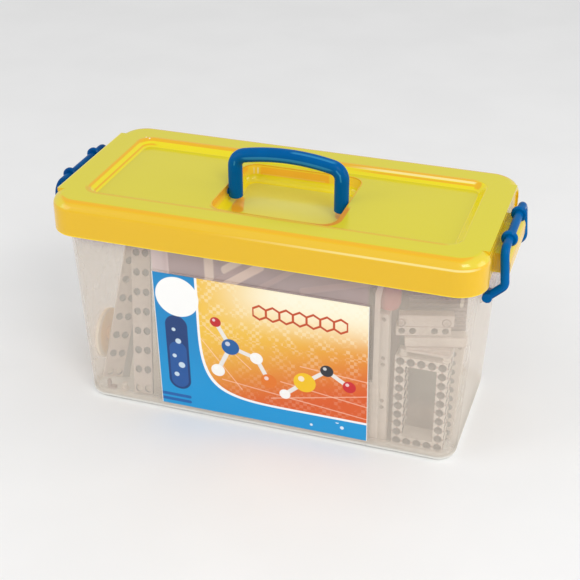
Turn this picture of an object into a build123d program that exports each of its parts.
from build123d import *
import os
from math import asin, cos, radians, sin, sqrt, tan

os.makedirs("parts", exist_ok=True)

# A storage case for a chemistry set: a translucent drafted tub, a snap-down lid with a carrying
# handle that folds into a pocket, a wire-like latch bail at each end, and construction pieces inside.
# Millimetres. +X runs along the case, +Y to the back, +Z up. The origin is the middle of the base.

# ---------------------------------------------------------------- driving sizes
TUB_LENGTH = 378.0  # outer length at the base
TUB_WIDTH = 156.0  # outer width at the base
LID_TOP = 227.6  # height of the closed case
SKIRT_DEPTH = 34.6  # height of the lid's skirt
DRAFT = 3.0  # degrees each tub wall leans out
WALL = 2.2
TUB_CORNER = 18.0  # plan radius of the tub at its base
BASE_EDGE = 7.0  # radius between the walls and the base
END_OVERHANG = 8.9  # lid past the tub at each end, at the skirt's lower edge
SIDE_OVERHANG = 11.4
LID_WALL = 2.4
LID_CORNER = 28.0
SHOULDER = 10.5  # radius between the lid's top and its skirt

# ---------------------------------------------------------------- fits
SLIP_GAP = 0.8  # lid skirt around the tub's flange
RIM_GAP = 2.0  # tub rim below the lid's plate
PIN_RADIUS = 3.0
PIN_PLAY = 0.08  # radial play of every pivot pin
REST_GAP = 0.3  # between pieces that lie on or against one another
LATCH_REST = 0.5  # latch collar above its ledge
SIDE_PLAY = 1.0  # handle legs and latch arms beside what they turn on

# ---------------------------------------------------------------- lid features
RECESS_DEPTH = 6.6
RECESS_END_MARGIN = 28.0  # lid end to the sunk panel
RECESS_SIDE_MARGIN = 31.5
RECESS_SLOPE = 7.0  # how far the sunk panel's walls lean in
POCKET_DEPTH = 18.0  # handle pocket below the sunk panel
HANDLE_SPAN = 106.0  # between the handle's leg axes
HANDLE_RADIUS = 7.0
HANDLE_RISE = 44.4  # pivot axis to the handle's highest axis point
HANDLE_BEND = 12.0
HANDLE_ARCH = 205.0  # radius of the gently arched grip
NOTCH_HALF = 71.0  # half width of the cut-back in each lid end
NOTCH_SETBACK = 1.6
LEDGE_HALF = 42.0
LEDGE_OUT = 13.0  # ledge past the lid's end
LEDGE_DROP = 15.6  # ledge below the lid's top
LEDGE_ROUND = 11.0

# ---------------------------------------------------------------- latch features
ROD = 4.0  # radius of the latch wire
ARM_Y = 50.0  # latch arms either side of the middle
COLLAR_Y = 26.0
COLLAR_RADIUS = 7.5
COLLAR_WIDTH = 5.0
PIVOT_DROP = 48.5  # latch pivot below the grip bar
PIVOT_IN = 11.5  # latch pivot inboard of the grip bar
KNEE_DROP = 35.0  # grip bar to the bend in each arm
KNEE_OUT = 3.0
CHEEK = 4.0  # thickness of the bracket's ears

# ---------------------------------------------------------------- label
PANEL_WIDTH = 215.0  # raised panel that carries the label
PANEL_HEIGHT = 157.0
PANEL_CORNER = 3.0
PANEL_RAISE = 0.8
LABEL_MIDDLE = 87.0  # up the front wall
LABEL_WIDTH = 212.0
LABEL_HEIGHT = 153.5
LABEL_THICKNESS = 0.4

# ---------------------------------------------------------------- contents
GRID = 10.0  # pitch of the construction pieces
HOLE = 3.9  # radius of their holes
FRONT_DEPTH = 11.0  # front face of the standing pieces behind the front wall's outer face
FRAME_COLUMNS = 5
FRAME_ROWS = 10
FRAME_DEPTH = 2 * GRID
SLOT_CUT = 0.8  # depth of the slots in its side faces
FRAME_FROM_END = 60.0  # its left side, from the tub's right end inside
ROD_FROM_END = 75.0
ROD_HEIGHT = 148.0
ROD_WIDTH = 9.6
STRIP_DEPTH = 4.2  # the strips beside the label, behind the front wall's outer face
STRIP_JOIN = 71.0  # where the upper strip rests on the lower one
STACK_FROM_END = 59.9
STACK_DEPTH = 16.0
STACK_TURN = 16.5  # degrees; the stacked pieces' right ends lie further back
PEG_HEIGHT = 6.5
LAMP_HEIGHT = 35.0
LAMP_RADIUS = 12.0
PLATE_HEIGHT = 156.0
PLATE_THICKNESS = 3.0
BOARD_THICKNESS = 1.2
BOARD_DEPTH = 43.4  # the long board behind the pieces, from the front wall's foot
BOARD_BELOW_POCKET = 11.0
DISC_RADIUS = 26.0
UPPER_DEPTH = 26.0  # the tall pieces behind the label, from the front wall's outer face
BEAM_DEPTH = 14.0  # the beams in front of them
POST_DEPTH = 32.0  # the posts behind the finned rack
POST_HEIGHT = 180.0
BEAM_THICKNESS = 8.0

# ---------------------------------------------------------------- sizes that follow
LEAN = tan(radians(DRAFT))
SKIRT_LOW = LID_TOP - SKIRT_DEPTH
LID_UNDER = LID_TOP - LID_WALL
RIM_TOP = LID_UNDER - RIM_GAP
FLOOR = WALL + 1.2  # inner floor, above the recessed underside
STAND = FLOOR + REST_GAP  # height at which pieces stand
STACK_FOOT = STAND + FRAME_ROWS * GRID + PEG_HEIGHT + REST_GAP  # top of the frame's pegs


def half_length(z):
    return TUB_LENGTH / 2 + z * LEAN


def half_width(z):
    return TUB_WIDTH / 2 + z * LEAN


LID_HALF_LENGTH = half_length(SKIRT_LOW) + END_OVERHANG
LID_HALF_WIDTH = half_width(SKIRT_LOW) + SIDE_OVERHANG
RECESS_FLOOR = LID_TOP - RECESS_DEPTH
POCKET_FLOOR = RECESS_FLOOR - POCKET_DEPTH
HANDLE_Z = RECESS_FLOOR - HANDLE_RADIUS
HANDLE_REACH = HANDLE_RISE + HANDLE_RADIUS
POCKET_HALF_LENGTH = HANDLE_SPAN / 2 + HANDLE_RADIUS + SIDE_PLAY
POCKET_HALF_WIDTH = HANDLE_REACH + 2.6
NOTCH_X = LID_HALF_LENGTH - NOTCH_SETBACK
LEDGE_X = LID_HALF_LENGTH + LEDGE_OUT
LEDGE_TOP = LID_TOP - LEDGE_DROP
BAR_X = LEDGE_X - 5.0
BAR_Z = LEDGE_TOP + COLLAR_RADIUS + LATCH_REST
PIVOT_X = BAR_X - PIVOT_IN
PIVOT_Z = BAR_Z - PIVOT_DROP
BRACKET_HALF = ARM_Y - ROD - SIDE_PLAY - 1.0
INNER_END = half_length(0) - WALL  # inner end wall at floor height
INNER_FRONT = half_width(0) - WALL

FRONT_WALL = Plane(
    origin=(0, -half_width(0), 0),
    x_dir=(1, 0, 0),
    z_dir=(0, -cos(radians(DRAFT)), -sin(radians(DRAFT))),
)


# ---------------------------------------------------------------- helpers
def drafted_block(length, width, radius, low, high, inset=0.0):
    """A rounded block whose sides lean out with the tub; the sizes are those at the base plane."""
    grow = low * LEAN - inset
    outline = RectangleRounded(length + 2 * grow, width + 2 * grow, radius + grow)
    return extrude(Plane.XY.offset(low) * outline, high - low, taper=-DRAFT)


def rounded_block(length, width, radius, low, high):
    return extrude(Plane.XY.offset(low) * RectangleRounded(length, width, radius), high - low)


def box_between(x, y, z):
    """A box from (low, high) pairs."""
    size = [pair[1] - pair[0] for pair in (x, y, z)]
    centre = [(pair[0] + pair[1]) / 2 for pair in (x, y, z)]
    return Pos(*centre) * Box(*size)


def rod_y(x, z, radius, low, high):
    return Pos(x, (low + high) / 2, z) * Rot(90, 0, 0) * Cylinder(radius, high - low)


def rod_x(y, z, radius, low, high):
    return Pos((low + high) / 2, y, z) * Rot(0, 90, 0) * Cylinder(radius, high - low)


def rounded_path(points, radius):
    """Straight runs through the points with a circular arc at every corner between them."""
    corners = [Vector(*p) for p in points]
    edges = []
    start = corners[0]
    for before, corner, after in zip(corners, corners[1:], corners[2:]):
        back = (before - corner).normalized()
        ahead = (after - corner).normalized()
        half_turn = radians(back.get_angle(ahead)) / 2
        trim = radius / tan(half_turn)
        middle = (back + ahead).normalized() * (radius / sin(half_turn) - radius)
        arc_start = corner + back * trim
        arc_end = corner + ahead * trim
        edges.append(Line(start, arc_start))
        edges.append(ThreePointArc(arc_start, corner + middle, arc_end))
        start = arc_end
    edges.append(Line(start, corners[-1]))
    return Wire([piece for edge in edges for piece in edge.edges()])


def swept_rod(path, radius):
    return sweep(Plane(path @ 0, z_dir=path % 0) * Circle(radius), path)


def leaning_plane(corner, along, across):
    """A plane at corner, facing the front: local x runs across, local y runs along."""
    up = Vector(*along).normalized()
    side = Vector(*across)
    side = (side - up * up.dot(side)).normalized()
    return Plane(origin=corner, x_dir=side, z_dir=side.cross(up))


def behind_front_wall(depth, z):
    """A plane parallel to the front wall, its origin at height z, depth behind the outer face."""
    lean = radians(DRAFT)
    up = (z - depth * sin(lean)) / cos(lean)
    inner = FRONT_WALL.offset(-depth)
    return Plane(origin=inner.from_local_coords((0, up, 0)), x_dir=inner.x_dir, z_dir=inner.z_dir)


def place_on(plane, x, y, turn=0.0):
    """The same plane with its origin at local (x, y), turned by some degrees within itself."""
    origin = plane.from_local_coords((x, y, 0))
    ahead = plane.from_local_coords((x + cos(radians(turn)), y + sin(radians(turn)), 0))
    return Plane(origin=origin, x_dir=ahead - origin, z_dir=plane.z_dir)


def perforated(plane, length, height, thickness, holes, radius=HOLE):
    """A plate whose lower left corner is the plane's origin, pierced at the given (x, y) spots."""
    plate = plane * Pos(length / 2, height / 2) * Rectangle(length, height)
    pierced = plate - [plane * Pos(x, y) * Circle(radius) for x, y in holes]
    return extrude(pierced, -thickness)


# ---------------------------------------------------------------- the tub
def make_tub():
    shell = drafted_block(TUB_LENGTH, TUB_WIDTH, TUB_CORNER, 0, RIM_TOP)
    shell = fillet(shell.edges().group_by(Axis.Z)[0], BASE_EDGE)
    hollow = drafted_block(TUB_LENGTH, TUB_WIDTH, TUB_CORNER, FLOOR, RIM_TOP + 5, inset=WALL)
    hollow = fillet(hollow.edges().group_by(Axis.Z)[0], BASE_EDGE - WALL)

    # the flange runs around inside the lid's skirt, cut back where the lid's ends are notched
    flange_low = SKIRT_LOW + 3.0
    reach_x = LID_HALF_LENGTH - LID_WALL - SLIP_GAP
    reach_y = LID_HALF_WIDTH - LID_WALL - SLIP_GAP
    corner = LID_CORNER - LID_WALL - SLIP_GAP
    flange = rounded_block(2 * reach_x, 2 * reach_y, corner, flange_low, flange_low + WALL)
    notch_face = NOTCH_X - LID_WALL - SLIP_GAP
    notch_half = NOTCH_HALF + LID_WALL + SLIP_GAP
    for side in (-1, 1):
        cut = box_between((notch_face, notch_face + 20), (-notch_half, notch_half), (0, RIM_TOP))
        flange -= cut if side > 0 else cut.mirror(Plane.YZ)

    # a raised, round-cornered panel carries the label
    panel = Pos(0, LABEL_MIDDLE) * RectangleRounded(PANEL_WIDTH, PANEL_HEIGHT, PANEL_CORNER)
    shell += extrude(FRONT_WALL.offset(-WALL / 2) * panel, WALL / 2 + PANEL_RAISE)

    # short stiffening ribs stand under the flange near each front and back corner
    for x in (-1, 1):
        for y in (-1, 1):
            for step in (0, 1):
                middle = x * (half_length(flange_low) - 26 - 12 * step)
                edge = y * (half_width(flange_low - 12) - 1)
                outer = y * (reach_y - 1)
                rib = box_between(
                    (middle - 0.8, middle + 0.8),
                    (min(edge, outer), max(edge, outer)),
                    (SKIRT_LOW + 0.5, flange_low + 1),
                )
                shell += rib

    tub = shell + flange + make_bracket() + make_bracket().mirror(Plane.YZ) - hollow
    # the underside is recessed, so the case stands on a ring
    recess = rounded_block(TUB_LENGTH - 36, TUB_WIDTH - 36, TUB_CORNER - 6, -1, FLOOR - WALL)
    return tub - recess


def make_bracket():
    """The bracket under the right-hand lid ledge: a bent plate with two ears for the latch pins."""
    top = SKIRT_LOW - 0.6
    wall_x = half_length(PIVOT_Z) - WALL / 2
    lip_x = BAR_X + 0.4
    plate = box_between((wall_x, lip_x), (-BRACKET_HALF, BRACKET_HALF), (top - WALL, top))
    lip = box_between((lip_x - WALL, lip_x), (-BRACKET_HALF, BRACKET_HALF), (top - 7, top))
    body = plate + lip
    outline = Polygon(
        (wall_x, top - 1), (lip_x, top - 1), (lip_x, top - 7), (wall_x, PIVOT_Z - 12), align=None
    )
    boss = Pos(PIVOT_X, PIVOT_Z) * Circle(PIN_RADIUS + 2.4)
    ear_profile = make_hull(outline.edges() + boss.edges())
    bore = Pos(PIVOT_X, PIVOT_Z) * Circle(PIN_RADIUS + PIN_PLAY)
    ear_profile -= bore
    for side in (-1, 1):
        face = side * (BRACKET_HALF - CHEEK / 2)
        body += extrude(Plane.XZ.offset(face - CHEEK / 2) * ear_profile, CHEEK)
    return body


# ---------------------------------------------------------------- the label
def make_label():
    sheet = Pos(0, LABEL_MIDDLE) * Rectangle(LABEL_WIDTH, LABEL_HEIGHT)
    return extrude(FRONT_WALL.offset(PANEL_RAISE + 0.05) * sheet, LABEL_THICKNESS)


# ---------------------------------------------------------------- the lid
def make_lid():
    length = 2 * LID_HALF_LENGTH
    width = 2 * LID_HALF_WIDTH
    outer = rounded_block(length, width, LID_CORNER, SKIRT_LOW, LID_TOP)
    outer = fillet(outer.edges().group_by(Axis.Z)[-1], SHOULDER)
    outer = fillet(outer.edges().group_by(Axis.Z)[0], 0.8)
    hollow = rounded_block(
        length - 2 * LID_WALL, width - 2 * LID_WALL, LID_CORNER - LID_WALL, SKIRT_LOW - 1, LID_UNDER
    )
    hollow = fillet(hollow.edges().group_by(Axis.Z)[-1], SHOULDER - LID_WALL)
    lid = outer - hollow

    for side in (1, -1):
        # the end is cut back between its corners, with a wall and cheeks behind the cut
        block = box_between(
            (NOTCH_X - LID_WALL, LID_HALF_LENGTH),
            (-NOTCH_HALF - LID_WALL, NOTCH_HALF + LID_WALL),
            (SKIRT_LOW, LID_TOP),
        )
        block = block & outer
        brow = box_between(
            (LID_HALF_LENGTH - SHOULDER - LID_WALL, NOTCH_X),
            (-NOTCH_HALF, NOTCH_HALF),
            (RIM_TOP + 0.6, LID_TOP),
        )
        cut = box_between(
            (NOTCH_X, LID_HALF_LENGTH + 1), (-NOTCH_HALF, NOTCH_HALF), (SKIRT_LOW - 1, LID_TOP + 1)
        )
        ledge = box_between((NOTCH_X - 1, LEDGE_X), (-LEDGE_HALF, LEDGE_HALF), (SKIRT_LOW, LEDGE_TOP))
        top_edge = ledge.edges().filter_by(Axis.Y).group_by(Axis.Z)[-1].sort_by(Axis.X)[-1]
        ledge = fillet(top_edge, LEDGE_ROUND)
        cavity = box_between(
            (NOTCH_X, LEDGE_X - LID_WALL),
            (-LEDGE_HALF + LID_WALL, LEDGE_HALF - LID_WALL),
            (SKIRT_LOW - 1, LEDGE_TOP - LID_WALL),
        )
        inner_edge = cavity.edges().filter_by(Axis.Y).group_by(Axis.Z)[-1].sort_by(Axis.X)[-1]
        cavity = fillet(inner_edge, LEDGE_ROUND - LID_WALL)
        ledge -= cavity
        if side < 0:
            block, brow, cut, ledge = (solid.mirror(Plane.YZ) for solid in (block, brow, cut, ledge))
        lid = lid + block + brow - cut + ledge

    # the sunk panel, with leaning walls, and the handle pocket below it
    top_length = length - 2 * RECESS_END_MARGIN
    top_width = width - 2 * RECESS_SIDE_MARGIN
    tray = []
    for grow, z in ((-RECESS_SLOPE + LID_WALL, RECESS_FLOOR - LID_WALL), (LID_WALL, LID_UNDER)):
        outline = RectangleRounded(top_length + 2 * grow, top_width + 2 * grow, 14 + grow)
        tray.append(Plane.XY.offset(z) * outline)
    lid += loft(tray, ruled=True)
    lid += make_pocket(LID_WALL, RECESS_FLOOR - 0.5)
    for side in (-1, 1):
        boss_x = side * (POCKET_HALF_LENGTH + LID_WALL + 1)
        lid += Pos(boss_x, 0, HANDLE_Z - 0.5) * Box(4, 14, 13)

    sink = []
    for grow, z in ((-RECESS_SLOPE, RECESS_FLOOR), (0.0, LID_TOP)):
        outline = RectangleRounded(top_length + 2 * grow, top_width + 2 * grow, 14 + grow)
        sink.append(Plane.XY.offset(z) * outline)
    sink = loft(sink, ruled=True)
    sink = fillet(sink.edges().group_by(Axis.Z)[0], 3.0)
    lid -= sink
    rim = [edge for edge in lid.edges().group_by(Axis.Z)[-1] if is_sink_rim(edge, top_length, top_width)]
    lid = fillet(rim, 2.6)
    lid -= make_pocket(0.0, RECESS_FLOOR + 1)
    for side in (-1, 1):
        near = side * (POCKET_HALF_LENGTH - 1)
        far = side * (POCKET_HALF_LENGTH + LID_WALL + 1.6)
        lid -= rod_x(0, HANDLE_Z, PIN_RADIUS + PIN_PLAY, min(near, far), max(near, far))
    return lid


def is_sink_rim(edge, length, width):
    box = edge.bounding_box()
    inside_x = max(abs(box.min.X), abs(box.max.X)) <= length / 2 + 0.1
    inside_y = max(abs(box.min.Y), abs(box.max.Y)) <= width / 2 + 0.1
    return inside_x and inside_y


def make_pocket(wall, high):
    """The pocket's inside, or with a wall thickness the block its inside is cut from."""
    block = rounded_block(
        2 * (POCKET_HALF_LENGTH + wall), 2 * (POCKET_HALF_WIDTH + wall), 15 + wall, POCKET_FLOOR - wall, high
    )
    return fillet(block.edges().group_by(Axis.Z)[0], 8 + wall)


# ---------------------------------------------------------------- the carrying handle
def make_handle():
    leg_x = HANDLE_SPAN / 2
    top_z = HANDLE_Z + HANDLE_RISE
    arch_z = top_z - HANDLE_ARCH
    bend_x = leg_x - HANDLE_BEND
    bend_z = arch_z + sqrt((HANDLE_ARCH - HANDLE_BEND) ** 2 - bend_x**2)
    turn = asin(bend_x / (HANDLE_ARCH - HANDLE_BEND))
    join = (HANDLE_ARCH * sin(turn), arch_z + HANDLE_ARCH * cos(turn))
    middle = (turn + radians(90)) / 2
    knuckle = (bend_x + HANDLE_BEND * sin(middle), bend_z + HANDLE_BEND * cos(middle))
    foot_z = HANDLE_Z - PIN_RADIUS - 1.5
    edges = [
        Line((-leg_x, 0, foot_z), (-leg_x, 0, bend_z)),
        ThreePointArc((-leg_x, 0, bend_z), (-knuckle[0], 0, knuckle[1]), (-join[0], 0, join[1])),
        ThreePointArc((-join[0], 0, join[1]), (0, 0, top_z), (join[0], 0, join[1])),
        ThreePointArc((join[0], 0, join[1]), (knuckle[0], 0, knuckle[1]), (leg_x, 0, bend_z)),
        Line((leg_x, 0, bend_z), (leg_x, 0, foot_z)),
    ]
    handle = swept_rod(Wire([piece for edge in edges for piece in edge.edges()]), HANDLE_RADIUS)
    handle = chamfer(handle.edges().group_by(Axis.Z)[0], 1.0)
    for side in (-1, 1):
        # each foot carries a pin that turns in the pocket's end wall
        tip = side * (leg_x + HANDLE_RADIUS + SIDE_PLAY + LID_WALL + 1.0)
        handle += rod_x(0, HANDLE_Z, PIN_RADIUS, min(side * leg_x, tip), max(side * leg_x, tip))
    return handle


# ---------------------------------------------------------------- the latches
def make_latch():
    """The right-hand latch: one bent wire with two collars on its grip bar and a pin at each end."""
    knee = (BAR_X + KNEE_OUT, BAR_Z - KNEE_DROP)
    half = [(PIVOT_X, ARM_Y, PIVOT_Z), (knee[0], ARM_Y, knee[1]), (BAR_X, ARM_Y, BAR_Z)]
    points = [(x, -y, z) for x, y, z in half] + half[::-1]
    latch = swept_rod(rounded_path(points, 8.0), ROD)
    for side in (-1, 1):
        middle = side * COLLAR_Y
        collar = rod_y(BAR_X, BAR_Z, COLLAR_RADIUS, middle - COLLAR_WIDTH / 2, middle + COLLAR_WIDTH / 2)
        latch += chamfer(collar.edges().filter_by(GeomType.CIRCLE), 1.4)
        arm = side * ARM_Y
        head = rod_y(PIVOT_X, PIVOT_Z, ROD + 0.6, arm - ROD - 0.3, arm + ROD + 0.3)
        head = chamfer(head.edges().filter_by(GeomType.CIRCLE), 0.5)
        tip = side * (BRACKET_HALF - CHEEK - 1.5)
        latch += head + rod_y(PIVOT_X, PIVOT_Z, PIN_RADIUS, min(arm, tip), max(arm, tip))
    return latch


# ---------------------------------------------------------------- the contents
def make_frame():
    """Ten by five cells of construction frame, open in the middle, standing at the front right."""
    corner = (INNER_END - FRAME_FROM_END, -half_width(STAND) + FRONT_DEPTH, STAND)
    plane = leaning_plane(corner, (0, 0, 1), (1, 0, 0))
    cells = []
    for column in range(FRAME_COLUMNS):
        for row in range(FRAME_ROWS):
            if column in (0, FRAME_COLUMNS - 1) or row in (0, FRAME_ROWS - 1):
                cells.append(((column + 0.5) * GRID, (row + 0.5) * GRID))
    frame = perforated(plane, FRAME_COLUMNS * GRID, FRAME_ROWS * GRID, FRAME_DEPTH, cells)
    window = plane * Pos(FRAME_COLUMNS * GRID / 2, FRAME_ROWS * GRID / 2)
    window = window * Rectangle((FRAME_COLUMNS - 2) * GRID, (FRAME_ROWS - 2) * GRID)
    frame -= extrude(window, -FRAME_DEPTH)

    # shallow slots down the side faces that look to the right
    for x, rows in ((GRID, range(1, FRAME_ROWS - 1)), (FRAME_COLUMNS * GRID, range(FRAME_ROWS))):
        side = Plane(
            origin=plane.from_local_coords((x, 0, -FRAME_DEPTH / 2)),
            x_dir=-plane.z_dir,
            z_dir=plane.x_dir,
        )
        slots = [side * Pos(0, (row + 0.5) * GRID) * SlotOverall(12.0, 2 * HOLE - 1.0) for row in rows]
        frame -= extrude(Sketch() + slots, -SLOT_CUT)
    return frame, plane


def make_frame_pegs(plane):
    pegs = []
    for x in (0.7 * GRID, (FRAME_COLUMNS - 0.3) * GRID):
        foot = Plane(
            origin=plane.from_local_coords((x, FRAME_ROWS * GRID + REST_GAP, -GRID / 2)),
            x_dir=plane.x_dir,
            z_dir=plane.y_dir,
        )
        peg = extrude(foot * Circle(4.2), 2.0) + extrude(foot * Circle(3.3), PEG_HEIGHT)
        pegs.append(peg)
    return Compound(children=pegs)


def make_rod_long():
    plane = place_on(behind_front_wall(FRONT_DEPTH - 1, STAND), INNER_END - ROD_FROM_END, 0)
    holes = [(ROD_WIDTH / 2, y) for y in (42.0, 49.5, 91.5, 99.0, 142.0)]
    return perforated(plane, ROD_WIDTH, ROD_HEIGHT, ROD_WIDTH, holes, radius=2.4)


def make_rod_short():
    """A rod that leans out with the right end wall, behind the frame."""
    corner = (INNER_END - 14.3, -half_width(STAND) + FRONT_DEPTH + FRAME_DEPTH + 2.7, STAND + 0.5)
    plane = leaning_plane(corner, (LEAN, 0, 1), (1, 0, 0))
    height = FRAME_ROWS * GRID + PEG_HEIGHT + 4.5
    return perforated(plane, 8.4, height, 8.4, [(4.2, height - 5.0)], radius=2.4)


def make_strips():
    """A grooved strip at the label's right edge, and a clear one bent at its top that rests on it."""
    place = place_on(behind_front_wall(STRIP_DEPTH, STAND), INNER_END - 82.8, 1.5)
    grooved = perforated(place, 10.4, STRIP_JOIN, 4, [])
    for x in (3.4, 5.6, 8.2):
        groove = place * Pos(x, STRIP_JOIN / 2) * Rectangle(0.7, STRIP_JOIN)
        grooved -= extrude(groove, -0.6)
    place = place_on(place, 4.8, STRIP_JOIN + REST_GAP)
    outline = Polygon((0, 0), (5.3, 0), (5.6, 93), (9.4, 114), (5.0, 114), (0.8, 99), align=None)
    return grooved, extrude(place * outline, -1.4)


def stack_plane(x, z, depth, turn=STACK_TURN):
    """A level plane for the stacked pieces, turned so that their right ends lie further back."""
    y = -half_width(z) + depth
    return leaning_plane((x, y, z), (0, 0, 1), (cos(radians(turn)), sin(radians(turn)), 0))


def make_stack():
    """Pieces piled on the frame's pegs, lowest first."""
    left = INNER_END - STACK_FROM_END
    sheet, thick = 2.5, 10.4
    z = STACK_FOOT
    thin = perforated(stack_plane(left + 10, z, STACK_DEPTH, 0), 41, sheet, 20, [])
    thin += perforated(stack_plane(left + 10, z + sheet, STACK_DEPTH, 8), 40, sheet, 20, [])
    z += 2 * sheet + REST_GAP
    plain = perforated(stack_plane(left + 8.8, z, STACK_DEPTH), 56.5, thick, 12, [])
    z += thick + REST_GAP
    cells = [((n + 0.5) * GRID, GRID / 2) for n in (0, 1, 3, 4)]
    five = perforated(stack_plane(left, z, STACK_DEPTH), FRAME_COLUMNS * GRID, GRID, GRID, cells, radius=3.3)
    z += GRID + REST_GAP
    place = stack_plane(left + 2.5, z, STACK_DEPTH)
    stud = perforated(place, FRAME_COLUMNS * GRID, 1.2 * GRID, GRID, [])
    for x in (4.2, FRAME_COLUMNS * GRID - 5.5):
        ring = place * Pos(x, 4.4) * (Circle(3.9) - Circle(2.3))
        stud += extrude(ring, 0.8)
    z += 1.2 * GRID + REST_GAP

    # a finely ribbed panel stands behind them
    foot = STACK_FOOT + 7.0
    panel_plane = stack_plane(left + 6.5, foot, STACK_DEPTH + 16)
    panel_height = z + 34 - foot
    panel = perforated(panel_plane, 54, panel_height, 4, [])
    pitch = 4.2
    for n in range(int(panel_height / pitch)):
        rib = panel_plane * Pos(27, (n + 0.5) * pitch) * Rectangle(52, 1.4)
        panel += extrude(rib, 1.4)
    return {"thin_plates": thin, "plain_plate": plain, "five_hole_beam": five, "stud_beam": stud,
            "rib_panel": panel}


def make_red_lamp():
    """A round-bottomed red piece above the long rod."""
    low = STAND + ROD_HEIGHT + 3.0
    profile = Polygon(
        (0, 0),
        (LAMP_RADIUS - 7, 0),
        (LAMP_RADIUS - 3, 2.5),
        (LAMP_RADIUS - 1.5, 7),
        (LAMP_RADIUS - 1.5, LAMP_HEIGHT - 5),
        (LAMP_RADIUS, LAMP_HEIGHT - 5),
        (LAMP_RADIUS, LAMP_HEIGHT),
        (0, LAMP_HEIGHT),
        align=None,
    )
    lamp = revolve(Plane.XZ * profile, Axis.Z)
    return Pos(INNER_END - ROD_FROM_END + 8.0, -half_width(low) + LAMP_RADIUS + 5.0, low) * lamp


def make_tall_plates():
    """Two perforated plates leaning back at the left, each with a thin board close behind it."""
    pitch = 2 * GRID
    corner = (-INNER_END + 6.5, -INNER_FRONT + 15.5, STAND + 8.5)
    plane = leaning_plane(corner, (0.107, 0.297, 0.951), (0.71, 0.665, -0.23))
    rows = range(int(PLATE_HEIGHT / pitch) + 1)
    holes = [(x, 6 + pitch * row) for x in (6.0, 15.5) for row in rows]
    leaning = perforated(plane, 28, PLATE_HEIGHT, PLATE_THICKNESS, holes)
    behind = plane.offset(-PLATE_THICKNESS - REST_GAP)
    leaning_board = perforated(place_on(behind, 1.5, 1.5), 22.5, PLATE_HEIGHT - 3, BOARD_THICKNESS, [])
    corner = (-INNER_END + 44.5, -INNER_FRONT + 6.8, STAND + 2.6)
    plane = leaning_plane(corner, (-0.10, 0.30, 0.948), (0.99, 0.0, 0.13))
    holes = [(x, 5 + pitch * row) for x in (5.5, 15.5) for row in rows]
    upright = perforated(plane, 20.5, PLATE_HEIGHT, PLATE_THICKNESS, holes)
    behind = plane.offset(-PLATE_THICKNESS - REST_GAP)
    upright_board = perforated(place_on(behind, 1.0, 1.5), 18.5, PLATE_HEIGHT - 3, BOARD_THICKNESS, [])
    return leaning, upright, leaning_board, upright_board


def make_long_board():
    """A board on edge behind the pieces, from beside the tall plates to behind the frame."""
    front = -half_width(STAND) + BOARD_DEPTH
    top = POCKET_FLOOR - LID_WALL - BOARD_BELOW_POCKET
    length = (INNER_END - 305.0, INNER_END - 16.0)
    return box_between(length, (front, front + BOARD_THICKNESS), (STAND, top))


def make_disc():
    """A wheel standing against the left wall."""
    centre_z = STAND + DISC_RADIUS + 18.0
    face = -(half_length(centre_z) - WALL) + 1.5
    disc = rod_x(0, 0, DISC_RADIUS, 0, 3.0) + rod_x(0, 0, 7.0, 0, 6.0) - rod_x(0, 0, HOLE, -1, 7.0)
    return Pos(face, -INNER_FRONT + 44.0, centre_z) * Rot(0, -DRAFT, 0) * disc


def make_floor_pieces():
    x = -INNER_END + 13.0
    y = -INNER_FRONT + 9.5
    clip = box_between((x, x + 9), (y, y + 4), (STAND, STAND + 3))
    clip += box_between((x, x + 3), (y, y + 4), (STAND, STAND + 9))
    peg = Pos(x + 19, y + 1.5, STAND) * Cylinder(4.0, 3.0, align=(Align.CENTER, Align.CENTER, Align.MIN))
    peg += Pos(x + 19, y + 1.5, STAND) * Cylinder(2.6, 9.0, align=(Align.CENTER, Align.CENTER, Align.MIN))
    return clip, peg


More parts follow.
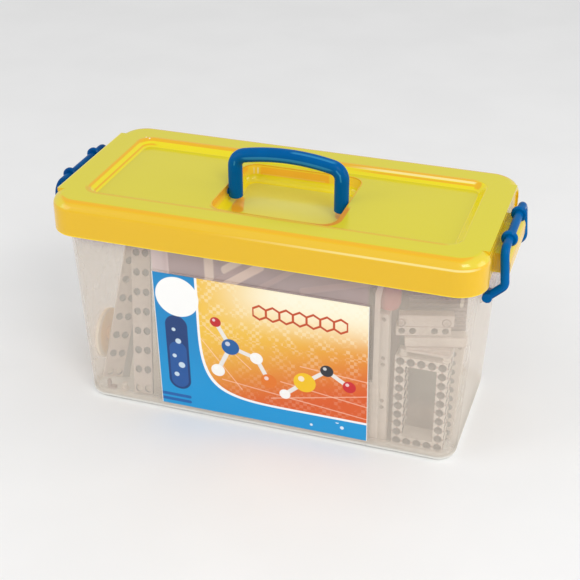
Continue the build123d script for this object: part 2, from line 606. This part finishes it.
def make_upper_pieces():
    """The pieces that show between the label and the lid."""
    level = behind_front_wall(UPPER_DEPTH, STAND)
    near = behind_front_wall(BEAM_DEPTH, STAND)
    far = behind_front_wall(POST_DEPTH, STAND)
    end = INNER_END  # every piece is placed from one end of the tub
    high = POST_HEIGHT
    grey_panel = perforated(place_on(level, 85.8 - end, 0), 33, high - 2, 4, [])
    light_post = perforated(place_on(far, 124.2 - end, 0), 10.5, high + 2, BEAM_THICKNESS, [])
    slim_post = perforated(place_on(far, 138.2 - end, 0), 8.5, high, BEAM_THICKNESS, [])
    holes = [(GRID * (n + 0.5), GRID / 2) for n in (0, 1, 4, 5, 10, 11)]
    place = place_on(near, end - 261.8, high - 50, 27.5)
    diagonal = perforated(place, 12 * GRID, GRID, BEAM_THICKNESS, holes, radius=1.4)
    rack_plane = place_on(level, end - 208.8, high - 47, 33.0)
    rack = perforated(rack_plane, 82, 13, 4, [])
    pitch = 5.0
    for n in range(int(82 / pitch)):
        tooth = rack_plane * Pos(3.5 + pitch * n, 6.5) * Rectangle(2.0, 12)
        rack += extrude(tooth, 1.6)
    cross = perforated(place_on(near, end - 146.8, high + 2, -32.0), 66, 9, BEAM_THICKNESS, [])
    z = STAND + high - 33.7
    dark = leaning_plane((end - 158.8, -half_width(z) + 30, z), (0, 0.94, 0.34), (1, 0, -0.03))
    dark = perforated(dark, 76, 18, 3, [])
    return {
        "grey_panel": grey_panel,
        "light_post": light_post,
        "slim_post": slim_post,
        "diagonal_beam": diagonal,
        "rib_rack": rack,
        "cross_beam": cross,
        "dark_plate": dark,
    }


# ---------------------------------------------------------------- export
frame_piece, frame_plane = make_frame()
leaning_plate, upright_plate, leaning_board, upright_board = make_tall_plates()
floor_clip, floor_peg = make_floor_pieces()
grooved_strip, clear_strip = make_strips()
latch_right = make_latch()
nodes = {
    "tub": make_tub(),
    "lid": make_lid(),
    "carry_handle": make_handle(),
    "latch_right": latch_right,
    "latch_left": latch_right.mirror(Plane.YZ),
    "label": make_label(),
    "frame_5x10": frame_piece,
    "frame_pegs": make_frame_pegs(frame_plane),
    "rod_long": make_rod_long(),
    "rod_short": make_rod_short(),
    "grooved_strip": grooved_strip,
    "clear_strip": clear_strip,
    "red_lamp": make_red_lamp(),
    "plate_leaning": leaning_plate,
    "plate_upright": upright_plate,
    "board_leaning": leaning_board,
    "board_upright": upright_board,
    "board_long": make_long_board(),
    "peach_disc": make_disc(),
    "floor_clip": floor_clip,
    "floor_peg": floor_peg,
}
nodes.update(make_stack())
nodes.update(make_upper_pieces())
for name, solid in nodes.items():
    solid.label = name
    export_step(solid, f"parts/{name}.step")
    print(name, len(solid.solids()), round(solid.volume / 1000, 2))
